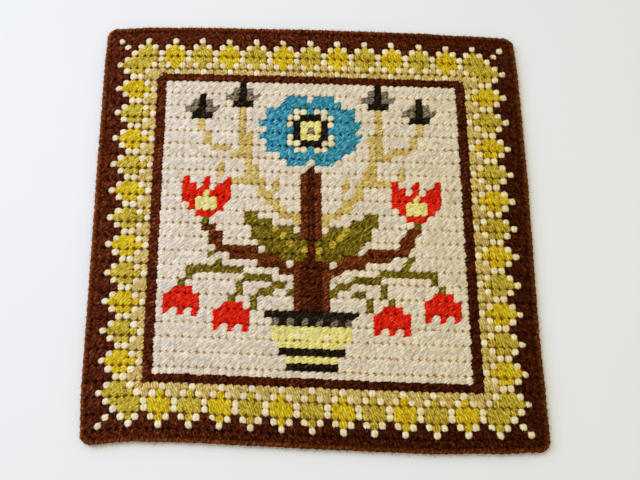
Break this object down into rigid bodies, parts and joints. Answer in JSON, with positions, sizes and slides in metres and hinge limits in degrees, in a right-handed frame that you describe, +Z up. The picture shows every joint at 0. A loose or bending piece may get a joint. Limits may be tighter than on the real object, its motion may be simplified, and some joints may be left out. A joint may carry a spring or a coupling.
{
  "type": "needlepoint canvas panel",
  "caption": "Flat square needlepoint panel, wool tent stitch on canvas with a motif border, its folded edge whipped with brown wool.",
  "frame": {"origin": "centre of the box's underside, in the plane that the panel rests on", "axes": "+Z up out of the worked face, +Y along the upright canvas threads to the top of the design, +X to its right"},
  "size_m": [0.1606, 0.1556, 0.0032],
  "materials": {
    "worked_wool": "matt wool tent stitch",
    "brown_wool": "matt whipped wool"
  },
  "bodies": {
    "root": {"stitched_canvas": "worked_wool", "whipped_binding": "brown_wool"}
  },
  "joints": []
}
